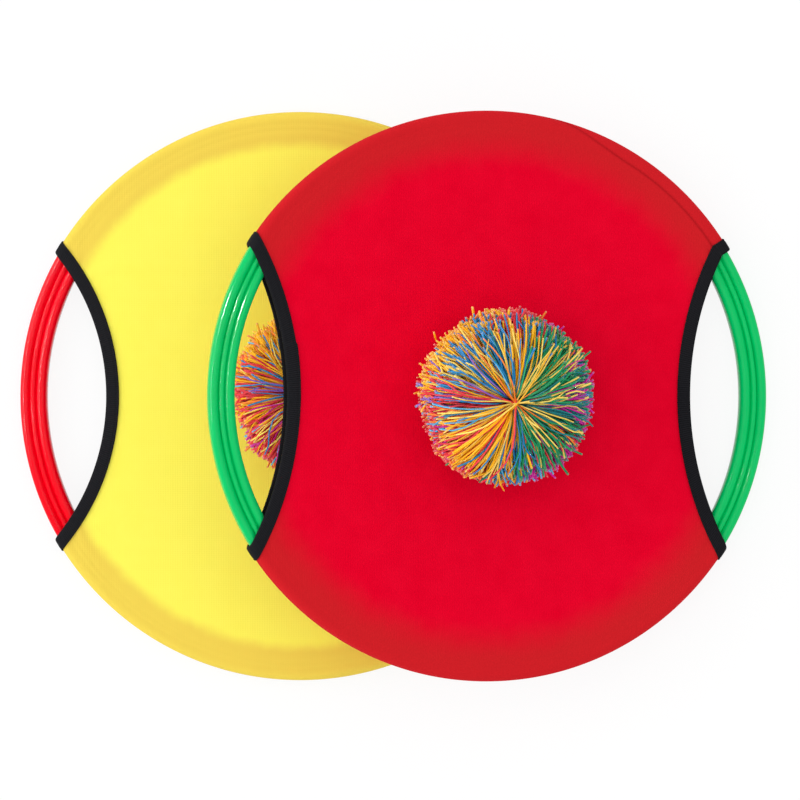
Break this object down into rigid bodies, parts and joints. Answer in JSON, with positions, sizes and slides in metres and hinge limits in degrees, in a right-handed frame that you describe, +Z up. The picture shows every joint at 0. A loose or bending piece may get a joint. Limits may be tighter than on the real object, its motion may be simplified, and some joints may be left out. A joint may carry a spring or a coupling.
{
  "type": "trampoline paddle ball set",
  "caption": "Trampoline paddle ball set: round hoop paddles with stretch fabric covers and open hand grips, and soft balls of rubber strings.",
  "frame": {"origin": "middle of the set's footprint, on the ground", "axes": "+X from the flat paddle to the leaning one, +Y along the grips, +Z up"},
  "size_m": [0.3998, 0.3022, 0.1347],
  "materials": {
    "fabric_red": "matt stretch knit",
    "fabric_yellow": "matt stretch knit",
    "tape_black": "matt woven elastic tape",
    "plastic_green": "glossy, moulded in one colour",
    "plastic_red": "glossy, moulded in one colour",
    "rubber_magenta": "satin rubber strings",
    "rubber_green": "satin rubber strings",
    "rubber_blue": "satin rubber strings",
    "rubber_yellow": "satin rubber strings",
    "rubber_violet": "satin rubber strings",
    "rubber_red": "satin rubber strings",
    "rubber_orange": "satin rubber strings",
    "rubber_teal": "satin rubber strings",
    "band_natural": "natural rubber band"
  },
  "bodies": {
    "root": {"red_paddle_hoop": "plastic_green", "red_paddle_front_panel": "fabric_red", "red_paddle_back_panel": "fabric_red", "red_paddle_rim_band_top": "fabric_red", "red_paddle_rim_band_bottom": "fabric_red", "red_paddle_binding_left": "tape_black", "red_paddle_binding_right": "tape_black", "yellow_paddle_hoop": "plastic_red", "yellow_paddle_front_panel": "fabric_yellow", "yellow_paddle_back_panel": "fabric_yellow", "yellow_paddle_rim_band_top": "fabric_yellow", "yellow_paddle_rim_band_bottom": "fabric_yellow", "yellow_paddle_binding_left": "tape_black", "yellow_paddle_binding_right": "tape_black", "upper_ball_magenta_bundle": "rubber_magenta", "upper_ball_green_bundle": "rubber_green", "upper_ball_blue_bundle": "rubber_blue", "upper_ball_yellow_bundle": "rubber_yellow", "upper_ball_violet_bundle": "rubber_violet", "upper_ball_red_bundle": "rubber_red", "upper_ball_orange_bundle": "rubber_orange", "upper_ball_teal_bundle": "rubber_teal", "upper_ball_tie_band": "band_natural", "lower_ball_magenta_bundle": "rubber_magenta", "lower_ball_green_bundle": "rubber_green", "lower_ball_blue_bundle": "rubber_blue", "lower_ball_yellow_bundle": "rubber_yellow", "lower_ball_violet_bundle": "rubber_violet", "lower_ball_red_bundle": "rubber_red", "lower_ball_orange_bundle": "rubber_orange", "lower_ball_teal_bundle": "rubber_teal", "lower_ball_tie_band": "band_natural"}
  },
  "joints": []
}
